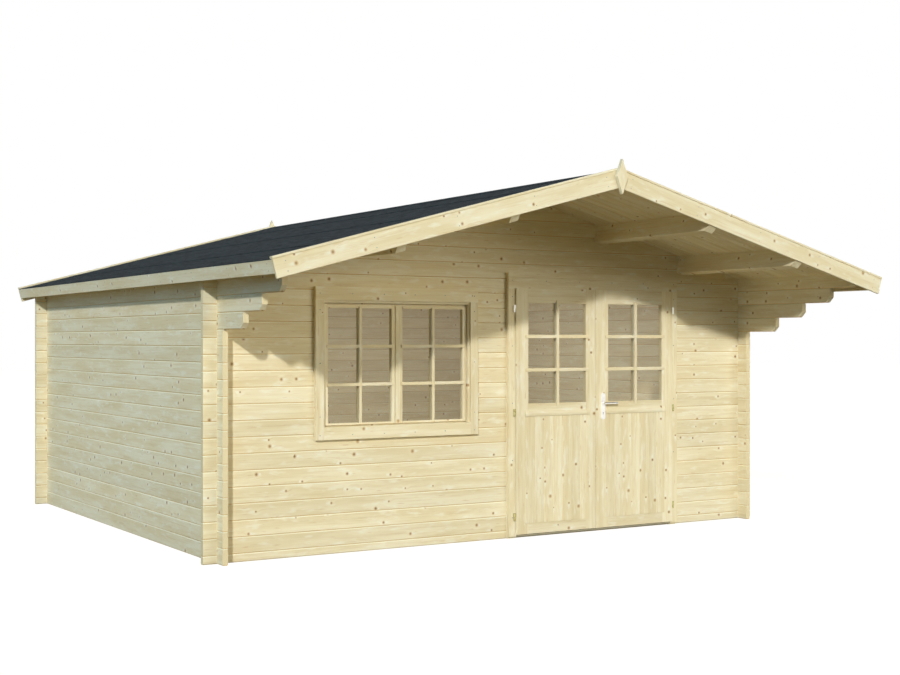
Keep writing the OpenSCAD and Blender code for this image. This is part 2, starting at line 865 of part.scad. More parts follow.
module floor_joists() {
    color(spruce)
        for (i = [0 : joist_count - 1])
            translate([floor_x0 + i * (floor_w - joist_w) / (joist_count - 1), floor_y0, 0])
                cube([joist_w, floor_d, joist_h]);
}

module floor_boards() {
    color(spruce) translate([floor_x0, floor_y0, joist_h]) cube([floor_w, floor_d, floor_t]);
}

left_wall();
right_wall();
back_wall();
back_gable();
front_wall_lower();
front_wall_corner();
front_wall_middle();
front_wall_over_window();
front_wall_right();
front_gable();
purlins();
left_roof_boards();
right_roof_boards();
left_roof_felt();
right_roof_felt();
left_eave_board();
right_eave_board();
left_bargeboards();
right_bargeboards();
left_barge_caps();
right_barge_caps();
finials();
window_frame();
left_window_sash();
right_window_sash();
window_glass();
window_casing();
window_inner_casing();
door_frame();
door_threshold();
door_casing();
door_inner_casing();
door_frame_hinges();
floor_boards();
floor_joists();
left_door_leaf();
left_door_panel();
left_door_glass();
left_door_hinges();
right_door_leaf();
right_door_panel();
right_door_glass();
right_door_hinges();
lock_plates();
door_handle();
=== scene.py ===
import math

import bmesh
import bpy
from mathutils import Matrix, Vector


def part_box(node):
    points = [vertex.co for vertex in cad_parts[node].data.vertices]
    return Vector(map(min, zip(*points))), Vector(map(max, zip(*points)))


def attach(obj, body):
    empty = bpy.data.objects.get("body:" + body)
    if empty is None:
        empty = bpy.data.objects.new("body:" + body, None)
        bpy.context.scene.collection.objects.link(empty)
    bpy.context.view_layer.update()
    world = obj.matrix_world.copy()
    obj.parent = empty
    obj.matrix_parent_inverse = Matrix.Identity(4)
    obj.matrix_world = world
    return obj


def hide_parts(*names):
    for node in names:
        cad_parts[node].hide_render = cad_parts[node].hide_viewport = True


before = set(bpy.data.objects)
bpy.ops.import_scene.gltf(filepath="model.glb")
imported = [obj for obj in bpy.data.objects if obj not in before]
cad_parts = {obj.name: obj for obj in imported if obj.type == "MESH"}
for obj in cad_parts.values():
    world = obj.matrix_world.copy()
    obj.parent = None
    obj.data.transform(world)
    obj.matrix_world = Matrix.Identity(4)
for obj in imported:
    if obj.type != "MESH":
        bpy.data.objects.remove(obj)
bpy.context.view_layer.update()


# The log walls. Planed spruce logs, 40 mm thick and 114 mm high, lie tongue in groove and are
# halved over each other at the corners. The raw timber is pale, with fine grain along the log,
# small brown knots in pale patches, and rings on the sawn ends.
LOG_HEIGHT = 0.114
LOG_THICK = 0.040
HALF_COURSE = LOG_HEIGHT / 2
# The bevels under and on top of each log are painted with shade and with a highlight
BEVEL_UNDER, BEVEL_TOP = (0.0045, 0.0066), (0.0060, 0.0075)
BEVEL_LIGHT_SHARE = 0.7
KNOT_CELLS = 8.5
KNOT_RADIUS, KNOT_RADIUS_RANGE = 0.0030, 0.0056


def srgb(red, green, blue):
    """A colour as it looks on a screen, from 0 to 255, as the linear values that a shader takes."""
    linear = []
    for value in (red, green, blue):
        share = value / 255
        linear.append(share / 12.92 if share <= 0.04045 else ((share + 0.055) / 1.055) ** 2.4)
    return (*linear, 1.0)


PALE_WOOD, WARM_WOOD = srgb(248, 236, 203), srgb(237, 220, 179)
BROAD_STREAK, FINE_LINE = srgb(220, 194, 144), srgb(206, 177, 126)
MILKY_PATCH, RESIN_DASH = srgb(255, 251, 232), srgb(210, 173, 115)
ROUND_KNOT, KNOT_TAIL = srgb(252, 242, 213), srgb(255, 255, 243)
KNOT_RING, KNOT_HEART = srgb(202, 156, 88), srgb(126, 90, 40)
SAWN_PALE, SAWN_DARK = srgb(246, 232, 193), srgb(230, 209, 163)
# Painted warm shade for the bevel under a log, and a painted highlight for the bevel on top
UNDER_BEVEL_SHADE, TOP_BEVEL_HIGHLIGHT = srgb(220, 180, 112), srgb(255, 252, 226)
# A dark grey, mixed half into the threshold
DARK_GREY = srgb(72, 70, 62)


class Wiring:
    """Adds shader nodes to one tree. A value given as a socket is linked, any other is set."""

    def __init__(self, tree):
        self.tree = tree

    def add(self, kind, inputs=(), **settings):
        node = self.tree.nodes.new("ShaderNode" + kind)
        for key, value in settings.items():
            setattr(node, key, value)
        for socket, value in dict(inputs).items():
            if isinstance(value, bpy.types.NodeSocket):
                self.tree.links.new(value, node.inputs[socket])
            else:
                node.inputs[socket].default_value = value
        return node

    def math(self, operation, *values):
        return self.add("Math", dict(enumerate(values)), operation=operation).outputs[0]

    def mix(self, share, low, high):
        return self.add("Mix", {0: share, 6: low, 7: high}, data_type="RGBA").outputs[2]

    def fade(self, value, start, end, low=0.0, high=1.0):
        inputs = {"Value": value, "From Min": start, "From Max": end, "To Min": low, "To Max": high}
        return self.add("MapRange", inputs, interpolation_type="SMOOTHSTEP").outputs[0]

    def combine(self, x, y, z):
        return self.add("CombineXYZ", {0: x, 1: y, 2: z}).outputs[0]

    def noise(self, place, scale, detail, roughness=0.5):
        inputs = {"Vector": place, "Scale": scale, "Detail": detail, "Roughness": roughness}
        return self.add("TexNoise", inputs).outputs[0]

    def stretched_noise(self, at, scales, detail, roughness=0.5):
        """Noise of a place given as three sockets, each with its own scale."""
        scaled = [self.math("MULTIPLY", value, scale) for value, scale in zip(at, scales)]
        return self.noise(self.combine(*scaled), 1.0, detail, roughness)

    def stretch(self, vector, scales):
        return self.add("VectorMath", {0: vector, 1: scales}, operation="MULTIPLY").outputs[0]

    def output(self, shader):
        """Joins a shader's output to the material's."""
        self.tree.links.new(shader.outputs[0], self.add("OutputMaterial").inputs[0])


def spruce_grain_group():
    """Colour, roughness and height of planed spruce.

    Place is (along the grain, across the board, through it) in metres from the board's middle.
    Piece is a number that differs from board to board, and End is 1 on a sawn end. Knots is the
    share of the pattern's cells that hold a knot. The last input rises to 1 on the bevel under a
    log, where it paints warm shade, and falls to -1 on the top bevel, where it paints a highlight.
    """
    group = bpy.data.node_groups.new("spruce_grain", "ShaderNodeTree")
    for label, kind in (("Place", "Vector"), ("Piece", "Float"), ("End", "Float"),
                        ("Knots", "Float"), ("Seam", "Float")):
        group.interface.new_socket(label, in_out="INPUT", socket_type="NodeSocket" + kind)
    for label, kind in (("Color", "Color"), ("Roughness", "Float"), ("Height", "Float")):
        group.interface.new_socket(label, in_out="OUTPUT", socket_type="NodeSocket" + kind)
    w = Wiring(group)
    given = group.nodes.new("NodeGroupInput").outputs
    made = group.nodes.new("NodeGroupOutput").inputs

    # Each board is cut from its own tree
    chance = w.add("TexWhiteNoise", {"W": given["Piece"]}, noise_dimensions="1D")
    shift = w.stretch(chance.outputs["Color"], (37.0, 11.0, 5.0))
    place = w.add("VectorMath", {0: given["Place"], 1: shift}, operation="ADD").outputs[0]
    at = w.add("SeparateXYZ", {0: place}).outputs

    # Knots: a few of the cells of a pattern hold one, with a brown ring and a pale tail
    cell = w.add("TexVoronoi", {"Vector": place, "Scale": KNOT_CELLS}, voronoi_dimensions="2D")
    odds = w.add("SeparateColor", {0: cell.outputs["Color"]}).outputs
    distance = w.math("DIVIDE", cell.outputs["Distance"], KNOT_CELLS)
    has_knot = w.math("LESS_THAN", odds[0], given["Knots"])
    radius = w.math("MULTIPLY_ADD", odds[1], KNOT_RADIUS_RANGE, KNOT_RADIUS)
    strength = w.math("MULTIPLY", has_knot, w.math("MULTIPLY_ADD", odds[2], 0.45, 0.38))
    heart = w.fade(distance, w.math("MULTIPLY", radius, 1.3), w.math("MULTIPLY", radius, 0.6))
    knot = w.math("MULTIPLY", strength, heart)
    halo = w.fade(distance, w.math("MULTIPLY", radius, 2.6), radius)
    ring = w.math("MULTIPLY", has_knot, halo)
    swell = w.math("MULTIPLY", has_knot, w.fade(distance, 0.055, 0.0))
    offset = w.add("VectorMath", {0: place, 1: cell.outputs["Position"]}, operation="SUBTRACT")
    beside = w.add("SeparateXYZ", {0: offset.outputs[0]}).outputs
    heading = w.math("SIGN", w.math("SUBTRACT", odds[1], 0.5))
    leaning = w.math("MULTIPLY", beside[0], heading)
    tail = w.math("MULTIPLY", w.fade(leaning, 0.002, 0.012), w.fade(leaning, 0.075, 0.015))
    tail = w.math("MULTIPLY", tail, w.fade(w.math("ABSOLUTE", beside[1]), 0.014, 0.003))
    tail = w.math("MULTIPLY", has_knot, tail)

    # Grain lines run along the board and bend round the knots
    bent = (at[0], w.math("MULTIPLY_ADD", swell, 0.016, at[1]), at[2])
    broad = w.stretched_noise(bent, (1.3, 11.0, 11.0), 3.0, 0.55)
    streak = w.stretched_noise(bent, (2.0, 55.0, 45.0), 5.0, 0.65)
    line = w.stretched_noise(bent, (2.6, 330.0, 120.0), 2.0)
    patch = w.stretched_noise(bent, (7.0, 26.0, 20.0), 2.0, 0.6)
    dash = w.stretched_noise(bent, (9.0, 95.0, 60.0), 1.0)

    wood = w.mix(w.fade(broad, 0.36, 0.66), PALE_WOOD, WARM_WOOD)
    wood = w.mix(w.fade(streak, 0.48, 0.8, 0.0, 0.6), wood, BROAD_STREAK)
    wood = w.mix(w.fade(line, 0.5, 0.75, 0.0, 0.22), wood, FINE_LINE)
    wood = w.mix(w.fade(patch, 0.52, 0.76, 0.0, 0.5), wood, MILKY_PATCH)
    wood = w.mix(w.fade(dash, 0.68, 0.8, 0.0, 0.45), wood, RESIN_DASH)
    wood = w.mix(w.math("MULTIPLY", swell, 0.3), wood, ROUND_KNOT)
    wood = w.mix(w.math("MULTIPLY", tail, 0.42), wood, KNOT_TAIL)
    wood = w.mix(w.math("MULTIPLY", ring, 0.62), wood, KNOT_RING)
    wood = w.mix(knot, wood, KNOT_HEART)

    # Sawn ends show the rings round the heart of the tree, and are a little darker
    across = w.add("SeparateXYZ", {0: given["Place"]}).outputs
    below = w.math("MULTIPLY_ADD", chance.outputs["Value"], 0.05, 0.01)
    section = w.combine(0.0, across[1], w.math("ADD", across[2], below))
    from_heart = w.add("VectorMath", {0: section}, operation="LENGTH").outputs["Value"]
    wobble = w.math("MULTIPLY_ADD", w.noise(place, 30.0, 2.0), 0.006, from_heart)
    rings = w.math("SINE", w.math("MULTIPLY", wobble, 1500.0))
    cut = w.mix(w.fade(rings, -1.0, 1.0), SAWN_PALE, SAWN_DARK)
    wood = w.mix(given["End"], wood, cut)
    # Painted warm shade on the bevel under each log, and a painted highlight on the bevel on top
    wood = w.mix(given["Seam"], wood, UNDER_BEVEL_SHADE)
    wood = w.mix(w.math("MULTIPLY", given["Seam"], -1.0), wood, TOP_BEVEL_HIGHLIGHT)

    # No two boards have quite the same tone
    tone = w.math("MULTIPLY_ADD", chance.outputs["Value"], 0.09, 0.945)
    toned = w.add("HueSaturation", {"Value": tone, "Color": wood})
    group.links.new(toned.outputs[0], made["Color"])
    group.links.new(w.fade(streak, 0.3, 0.7, 0.52, 0.68), made["Roughness"])
    height = w.math("SUBTRACT", w.math("MULTIPLY", line, 0.6), w.math("MULTIPLY", knot, 0.5))
    group.links.new(height, made["Height"])
    return group


spruce_grain = spruce_grain_group()


def finish_wood(material, w, place, piece, end, knots, bevel_light=0.0, tone_shift=0.0):
    """Joins the grain to the material's own shader, with a bump of fine lines, and can grey it."""
    grain = w.add("Group", {"Place": place, "Piece": piece, "End": end, "Knots": knots,
                            "Seam": bevel_light}, node_tree=spruce_grain)
    bump = w.add("Bump", {"Strength": 0.25, "Distance": 0.0006, "Height": grain.outputs["Height"]})
    colour = grain.outputs["Color"]
    if tone_shift:
        colour = w.mix(tone_shift, colour, DARK_GREY)
    w.output(w.add("BsdfPrincipled", {
        "Base Color": colour, "Roughness": grain.outputs["Roughness"], "Specular IOR Level": 0.3,
        "Normal": bump.outputs[0]}))
    return material


def new_material(name):
    material = bpy.data.materials.new(name)
    material.use_nodes = True
    material.node_tree.nodes.clear()
    return material, Wiring(material.node_tree)


def node_spruce(name, run, seed, course=0.0, start=0.0, middle=(0.0, 0.0), split="",
                uprights=None, knots=0.24, tone_shift=0.0):
    """Spruce for a CAD node whose timber runs along one axis.

    course and start give the height of its courses and the foot of the first, middle the
    centre of the section, split the axes at whose zero one piece ends and the next begins, and
    uprights the (middle, half width, top) outside of which, and below which, the timber stands
    upright.
    """
    material, w = new_material(name)
    spot = w.add("TexCoord").outputs
    at = dict(zip("XYZ", w.add("SeparateXYZ", {0: spot["Object"]}).outputs))
    toward = dict(zip("XYZ", w.add("SeparateXYZ", {0: spot["Normal"]}).outputs))
    across_axis, through_axis = {"X": "ZY", "Y": "ZX", "Z": "XY"}[run]
    piece = w.math("ADD", float(seed), 0.0)
    bevel_light = 0.0
    if course:
        half = course / 2
        row = w.math("SUBTRACT", at[across_axis], start)
        row = w.math("FLOOR", w.math("DIVIDE", row, course))
        piece = w.math("ADD", piece, row)
        centre = w.math("MULTIPLY_ADD", row, course, start + half)
        across = w.math("SUBTRACT", at[across_axis], centre)
        # The bevel under each course is painted with shade, and the bevel on top with a highlight
        under = w.fade(across, BEVEL_UNDER[1] - half, BEVEL_UNDER[0] - half, 0.0, BEVEL_LIGHT_SHARE)
        top = w.fade(across, half - BEVEL_TOP[1], half - BEVEL_TOP[0], 0.0, BEVEL_LIGHT_SHARE)
        bevel_light = w.math("SUBTRACT", under, top)
    else:
        across = w.math("SUBTRACT", at[across_axis], middle[0])
    through = w.math("SUBTRACT", at[through_axis], middle[1])
    for step, axis in enumerate(split):
        beyond = w.math("GREATER_THAN", at[axis], 0.0)
        piece = w.math("MULTIPLY_ADD", beyond, 31.0 + 17.0 * step, piece)
    place = w.combine(at[run], across, through)
    end = w.math("GREATER_THAN", w.math("ABSOLUTE", toward[run]), 0.8)
    if uprights:
        centre, half, top = uprights
        offset = w.math("SUBTRACT", at["X"], centre)
        beside = w.math("GREATER_THAN", w.math("ABSOLUTE", offset), half)
        upright = w.math("MULTIPLY", beside, w.math("LESS_THAN", at["Z"], top))
        tree = w.math("MULTIPLY_ADD", w.math("SIGN", offset), 7.0, 71.0)
        piece = w.math("MULTIPLY_ADD", upright, tree, piece)
        standing = w.combine(at["Z"], offset, through)
        place = w.add("Mix", {0: upright, 4: place, 5: standing}, data_type="VECTOR").outputs[1]
        end = w.math("MULTIPLY", end, w.math("SUBTRACT", 1.0, upright))
    return finish_wood(material, w, place, piece, end, knots, bevel_light, tone_shift)


def dress(material, *nodes):
    """Gives CAD nodes their finish."""
    for name in nodes:
        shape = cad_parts[name]
        shape.data.materials.clear()
        shape.data.materials.append(material)


front_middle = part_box("front_wall_right")[0].y + LOG_THICK / 2
back_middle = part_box("back_gable")[0].y + LOG_THICK / 2
for number, wall in enumerate(("front_wall_lower", "front_wall_corner", "front_wall_middle",
                               "front_wall_over_window", "front_wall_right", "front_gable")):
    dress(node_spruce(wall + "_logs", "X", 100 + 40 * number, LOG_HEIGHT, -HALF_COURSE,
                      (0.0, front_middle)), wall)
for number, wall in enumerate(("back_wall", "back_gable")):
    dress(node_spruce(wall + "_logs", "X", 400 + 40 * number, LOG_HEIGHT, -HALF_COURSE,
                      (0.0, back_middle)), wall)
for number, wall in enumerate(("left_wall", "right_wall")):
    low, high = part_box(wall)
    dress(node_spruce(wall + "_logs", "Y", 500 + 40 * number, LOG_HEIGHT, 0.0,
                      (0.0, (low.x + high.x) / 2)), wall)


# The purlins. Four heavy spruce bars lie in notches of both gables and carry the roof boards
# out over the front, their lower ends chamfered. Every bar is cut from its own tree.
PURLIN_TIER, TIER_FOOT = 0.9, -0.45
dress(node_spruce("purlin_timber", "Y", 601, PURLIN_TIER, TIER_FOOT, split="X", knots=0.3),
      "purlins")


# The roof boards. Tongued and grooved spruce boards run from the ridge down to the eave, with
# V joints on the side that shows under the overhang, nailed to the purlins and the side walls.
ROOF_PITCH = math.radians(14.9)
ROOF_BOARD, ROOF_THICK = 0.095, 0.019
ROOF_V = 0.004
ROOF_JOINT = 0.0002
TIMBER_EDGE = 0.0015


class Joinery:
    """One mesh of timber members. Each carries its own grain as attributes of its corners."""

    def __init__(self, name):
        self.name = name
        self.mesh = bmesh.new()
        self.grain = self.mesh.loops.layers.float_vector.new("grain")
        self.end = self.mesh.loops.layers.float.new("sawn_end")
        self.piece = self.mesh.loops.layers.float.new("piece")
        self.count = 0

    def member(self, start, along, across, length, outline, plumb=(0.0, 0.0)):
        """A length of an outline of (across, through) points.

        plumb slants its ends, in metres per metre. The grain is laid out on the broader side.
        """
        along, across = Vector(along).normalized(), Vector(across).normalized()
        through = along.cross(across)
        self.count += 1
        rows = []
        for base, slant in ((0.0, plumb[0]), (length, plumb[1])):
            row = []
            for a, t in outline:
                s = base + slant * t
                place = Vector(start) + along * s + across * a + through * t
                row.append((self.mesh.verts.new(place), (s, a, t)))
            rows.append(row)
        number = len(outline)
        near, far = rows
        faces = []
        for i in range(number):
            j = (i + 1) % number
            faces.append(([near[i], near[j], far[j], far[i]], 0.0))
        faces += [(near[::-1], 1.0), (far, 1.0)]
        middle = [sum(p[k] for p in outline) / number for k in (0, 1)]
        spans = [max(p[k] for p in outline) - min(p[k] for p in outline) for k in (0, 1)]
        for corners, sawn in faces:
            face = self.mesh.faces.new([vertex for vertex, _ in corners])
            for loop, (_, (s, a, t)) in zip(face.loops, corners):
                spot = (a - middle[0], t - middle[1])
                loop[self.grain] = (s, *(spot if spans[0] > spans[1] else spot[::-1]))
                loop[self.end] = sawn
                loop[self.piece] = self.count

    def bar(self, low, high, run, edge=TIMBER_EDGE):
        """A straight bar between two corners, its grain along one axis, its edges broken."""
        low, high = Vector(low), Vector(high)
        size = high - low
        along = Vector([float(run == axis) for axis in "XYZ"])
        across = Vector({"X": (0, 0, 1), "Y": (0, 0, 1), "Z": (1, 0, 0)}[run])
        through = along.cross(across)
        centre = (low + high) / 2
        length, width, depth = (abs(size.dot(v)) for v in (along, across, through))
        self.member(centre - along * length / 2, along, across, length,
                    chamfered(width, depth, edge))

    def shape(self, material, body, slot, replaced=()):
        """Makes the object and hands it to its body."""
        bmesh.ops.recalc_face_normals(self.mesh, faces=self.mesh.faces)
        data = bpy.data.meshes.new(self.name)
        self.mesh.to_mesh(data)
        self.mesh.free()
        data.materials.append(material)
        piece = bpy.data.objects.new(self.name, data)
        bpy.context.scene.collection.objects.link(piece)
        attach(piece, body)
        if replaced:
            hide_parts(*replaced)


def chamfered(width, depth, edge):
    """Outline of a bar about its middle, with its four edges broken."""
    x, y = width / 2, depth / 2
    return [(-x + edge, -y), (x - edge, -y), (x, -y + edge), (x, y - edge),
            (x - edge, y), (-x + edge, y), (-x, y - edge), (-x, -y + edge)]


def piece_spruce(name, seed, knots=0.24):
    """Spruce for the pieces made here, whose corners carry their grain."""
    material, w = new_material(name)
    place = w.add("Attribute", attribute_name="grain").outputs["Vector"]
    number = w.add("Attribute", attribute_name="piece").outputs["Fac"]
    end = w.add("Attribute", attribute_name="sawn_end").outputs["Fac"]
    return finish_wood(material, w, place, w.math("ADD", number, float(seed)), end, knots)


roof_low, roof_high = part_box("right_roof_boards")
RIDGE = roof_high.z - ROOF_THICK / math.cos(ROOF_PITCH)
SLOPE_LENGTH = (roof_high.x - ROOF_THICK * math.sin(ROOF_PITCH)) / math.cos(ROOF_PITCH)


def down_slope(side):
    """Unit vectors down a slope and square to it, on the left (-1) or the right (1)."""
    down = Vector((side * math.cos(ROOF_PITCH), 0.0, -math.sin(ROOF_PITCH)))
    return down, Vector((side * math.sin(ROOF_PITCH), 0.0, math.cos(ROOF_PITCH)))


def roof_boards(side, name, seed, replaced):
    boards = Joinery(name)
    down, _ = down_slope(side)
    number = round((roof_high.y - roof_low.y) / ROOF_BOARD)
    cover = (roof_high.y - roof_low.y) / number
    outline = [(ROOF_V, 0.0), (cover - ROOF_V, 0.0), (cover - ROOF_JOINT, ROOF_V),
               (cover - ROOF_JOINT, ROOF_THICK), (ROOF_JOINT, ROOF_THICK), (ROOF_JOINT, ROOF_V)]
    # The boards are laid from the back on the left and from the front on the right, so that
    # the outline's height points up from either slope
    first = roof_low.y if side > 0 else roof_high.y
    for i in range(number):
        boards.member((0.0, first + side * i * cover, RIDGE), down, (0, side, 0), SLOPE_LENGTH,
                      outline, (-math.tan(ROOF_PITCH), 0.0))
    boards.shape(piece_spruce(name + "_timber", seed, 0.3), "cabin", "spruce", [replaced])


roof_boards(-1, "left_roof_planks", 700, "left_roof_boards")
roof_boards(1, "right_roof_planks", 800, "right_roof_boards")


# The roofing felt. Bitumen felt with dark slate grit comes in rolls a metre wide. Its courses
# run along the roof, each lapped over the one below, and a strip closes the ridge.
FELT_THICK, FELT_CLEAR = 0.0029, 0.0001
FELT_TOP = 0.022
FELT_LAPS = (0.60, 1.40, 2.20)
FELT_LAP, LAP_SAG = 0.1, 1.3
RIDGE_STRIP, STRIP_CLEAR = 0.15, 0.0002
CAP_WIDTH, CAP_CLEAR = 0.040, 0.001
SLATE, PALE_SLATE = srgb(30, 36, 38), srgb(37, 44, 46)
PALE_GRAIN, DARK_GRAIN, FINE_GRAIN = srgb(64, 72, 74), srgb(13, 16, 19), srgb(48, 55, 57)
PALE_MOTTLE, DARK_MOTTLE = srgb(64, 75, 82), srgb(14, 19, 22)


def felt_material():
    material, w = new_material("slate_felt")
    spot = w.add("TexCoord").outputs["Object"]
    grit = w.add("TexVoronoi", {"Vector": spot, "Scale": 420.0}).outputs["Color"]
    grains = w.add("SeparateColor", {0: grit}).outputs
    tone_shift = w.noise(spot, 1.7, 4.0, 0.6)
    fine = w.noise(spot, 95.0, 3.0, 0.7)
    mottle = w.noise(w.stretch(spot, (24.0, 9.0, 24.0)), 1.0, 4.0, 0.75)
    colour = w.mix(w.fade(tone_shift, 0.35, 0.65), SLATE, PALE_SLATE)
    colour = w.mix(w.fade(grains[0], 0.55, 1.0, 0.0, 0.8), colour, PALE_GRAIN)
    colour = w.mix(w.fade(grains[1], 0.6, 1.0, 0.0, 0.7), colour, DARK_GRAIN)
    colour = w.mix(w.fade(fine, 0.4, 0.7, 0.0, 0.35), colour, FINE_GRAIN)
    colour = w.mix(w.fade(mottle, 0.4, 0.64, 0.0, 0.5), colour, PALE_MOTTLE)
    colour = w.mix(w.fade(mottle, 0.5, 0.36, 0.0, 0.4), colour, DARK_MOTTLE)
    bump = w.add("Bump", {"Strength": 0.7, "Distance": 0.0012,
                          "Height": w.math("ADD", grains[2], fine)})
    w.output(w.add("BsdfPrincipled", {"Base Color": colour, "Roughness": 0.95,
                                      "Specular IOR Level": 0.06, "Normal": bump.outputs[0]}))
    return material


slate_felt = felt_material()


def felt_courses(side, name, replaced):
    """Courses whose lower edge lies on the course below, sagging on to the boards above it."""
    low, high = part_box(replaced)
    down, up = down_slope(side)
    edge = (high.x - low.x - FELT_TOP * math.sin(ROOF_PITCH)) / math.cos(ROOF_PITCH)
    felt = Joinery(name)
    ground = ROOF_THICK + FELT_CLEAR
    lift = ground + FELT_THICK
    bottoms = [*FELT_LAPS, edge]
    tops = [-ground * math.tan(ROOF_PITCH), *[lap - FELT_LAP for lap in FELT_LAPS]]
    for upper, lower in zip(tops, bottoms):
        if lower == edge:
            line = [(upper, ground), (lower, ground), (lower, lift), (upper, lift)]
        else:
            sag = lower - FELT_LAP * LAP_SAG
            line = [(upper, ground), (sag, ground), (lower, lift), (lower, lift + FELT_THICK),
                    (sag, lift), (upper, lift)]
        near, far = [[felt.mesh.verts.new(Vector((0.0, y, RIDGE)) + down * s + up * t)
                      for s, t in line] for y in (low.y, high.y)]
        for i in range(len(line)):
            j = (i + 1) % len(line)
            felt.mesh.faces.new([near[i], near[j], far[j], far[i]])
        felt.mesh.faces.new(near[::-1])
        felt.mesh.faces.new(far)
    felt.shape(slate_felt, "cabin", "felt", [replaced])


felt_courses(-1, "left_felt_courses", "left_roof_felt")
felt_courses(1, "right_felt_courses", "right_roof_felt")
ridge_strip = Joinery("ridge_felt")
cap_low, cap_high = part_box("left_barge_caps")
strip_foot = ROOF_THICK + FELT_THICK + STRIP_CLEAR
strip_gap = CAP_WIDTH + CAP_CLEAR
width = cap_high.y - cap_low.y - 2 * strip_gap
strip = [(0.0, strip_foot), (width, strip_foot), (width, strip_foot + FELT_THICK),
         (0.0, strip_foot + FELT_THICK)]
for side in (-1, 1):
    down, _ = down_slope(side)
    y = cap_low.y + strip_gap if side > 0 else cap_high.y - strip_gap
    ridge_strip.member((0.0, y, RIDGE), down, (0, side, 0), RIDGE_STRIP, strip,
                       (-math.tan(ROOF_PITCH), 0.0))
ridge_strip.shape(slate_felt, "cabin", "felt")


# The glazed sashes of the window. A grid of planed bars is planted on each sash outside, a
# second one lies behind the glass, and beads hold the glass in its rebate.
WINDOW_BAR = 0.023
WINDOW_BAR_LAP = 0.012
BAR_THICK, INNER_BAR_THICK = 0.007, 0.009
BAR_CLEAR = 0.0002
REBATE = 0.009
BEAD_PLAY, GLASS_CLEAR, BEAD_EDGE = 0.0005, 0.0003, 0.001
planed_spruce = piece_spruce("planed_bars", 900, 0.12)


def glazing(name, body, opening, outer_y, glass_y, inner_y, bar_w, laps):
    """Bars outside and inside one opening (x0, x1, z0, z1), and the beads behind its glass."""
    x0, x1, z0, z1 = opening
    grid = Joinery(name)
    middle = (x0 + x1) / 2
    half = bar_w / 2
    heights = [z0 + (z1 - z0) * k / 3 for k in (1, 2)]
    for front, back, side, end in (
            (outer_y - BAR_THICK, outer_y - BAR_CLEAR, *laps),
            (inner_y - INNER_BAR_THICK, inner_y, -BAR_CLEAR, -BAR_CLEAR)):
        grid.bar((middle - half, front, z0 - end), (middle + half, back, z1 + end), "Z")
        for z in heights:
            for a, b in ((x0 - side, middle - half - BAR_CLEAR),
                         (middle + half + BAR_CLEAR, x1 + side)):
                grid.bar((a, front, z - half), (b, back, z + half), "X")
    lip = REBATE - BEAD_PLAY
    front, back = glass_y + GLASS_CLEAR, inner_y - GLASS_CLEAR
    for z in (z0 - lip, z1):
        grid.bar((x0 - lip, front, z), (x1 + lip, back, z + lip), "X", BEAD_EDGE)
    for x in (x0 - lip, x1):
        grid.bar((x, front, z0 + GLASS_CLEAR), (x + lip, back, z1 - GLASS_CLEAR), "Z", BEAD_EDGE)
    grid.shape(planed_spruce, body, "planed_trim")


SASH_STILE, SASH_RAIL = 0.037, 0.037
MEETING_LEFT, MEETING_RIGHT = 0.030, 0.064
FACE_INSET, HEAD_INSET, FOOT_INSET, FACE_DEPTH = 0.006, 0.017, 0.022, 0.013
COVER_STRIP, COVER_STEP, COVER_EDGE = 0.038, 0.004, 0.002
HEAD_GAP, FOOT_GAP = 0.008, 0.020
SASH_PLAY, SASH_EDGE = 0.0003, 0.0008
LAYER_GAP = 0.0001
glass_low, glass_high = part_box("window_glass")
for number, (name, stiles, face_insets) in enumerate((
        ("left_window_sash", (SASH_STILE, MEETING_LEFT), (FACE_INSET, FACE_INSET / 2)),
        ("right_window_sash", (MEETING_RIGHT, SASH_STILE), (FACE_INSET / 2, FACE_INSET)))):
    low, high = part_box(name)
    opening = (low.x + stiles[0] - SASH_PLAY, high.x - stiles[1] + SASH_PLAY,
               low.z + SASH_RAIL, high.z - SASH_RAIL)
    glazing(name.replace("sash", "bars"), "cabin", opening, low.y, glass_high.y, high.y,
            WINDOW_BAR, (WINDOW_BAR_LAP, WINDOW_BAR_LAP))
    # Three layers make the stiles and rails: a face set in from the frame all round, a middle,
    # and a back with the wider rebate that holds the glass
    timber = Joinery(name.replace("sash", "stiles"))
    face_y, rebate_y = low.y + FACE_DEPTH, glass_low.y
    for y0, y1, insets, lip in (
            (low.y, face_y, (*face_insets, FOOT_INSET, HEAD_INSET), 0.0),
            (face_y + LAYER_GAP, rebate_y, (0.0, 0.0, FOOT_GAP, HEAD_GAP), 0.0),
            (rebate_y + LAYER_GAP, high.y, (0.0, 0.0, 0.0, 0.0), REBATE)):
        x0, x1 = low.x + insets[0], high.x - insets[1]
        z0, z1 = low.z + insets[2], high.z - insets[3]
        a0, a1, b0, b1 = opening[0] - lip, opening[1] + lip, opening[2] - lip, opening[3] + lip
        for left, right in ((x0, a0), (a1, x1)):
            if y0 == low.y and left < a0 and stiles[0] == MEETING_RIGHT:
                # A cover strip on the right sash laps over the meeting stiles
                strip = left + COVER_STRIP
                timber.bar((left, y0, z0), (strip, y1, z1), "Z", COVER_EDGE)
                timber.bar((strip + BAR_CLEAR, y0 + COVER_STEP, z0), (right, y1, z1), "Z",
                           SASH_EDGE)
            else:
                timber.bar((left, y0, z0), (right, y1, z1), "Z", SASH_EDGE)
        for foot, top in ((z0, b0), (b1, z1)):
            timber.bar((a0 + LAYER_GAP, y0, foot), (a1 - LAYER_GAP, y1, top), "X", SASH_EDGE)
    timber.shape(piece_spruce(name + "_timber", 930 + 15 * number, 0.15), "cabin", "spruce", [name])


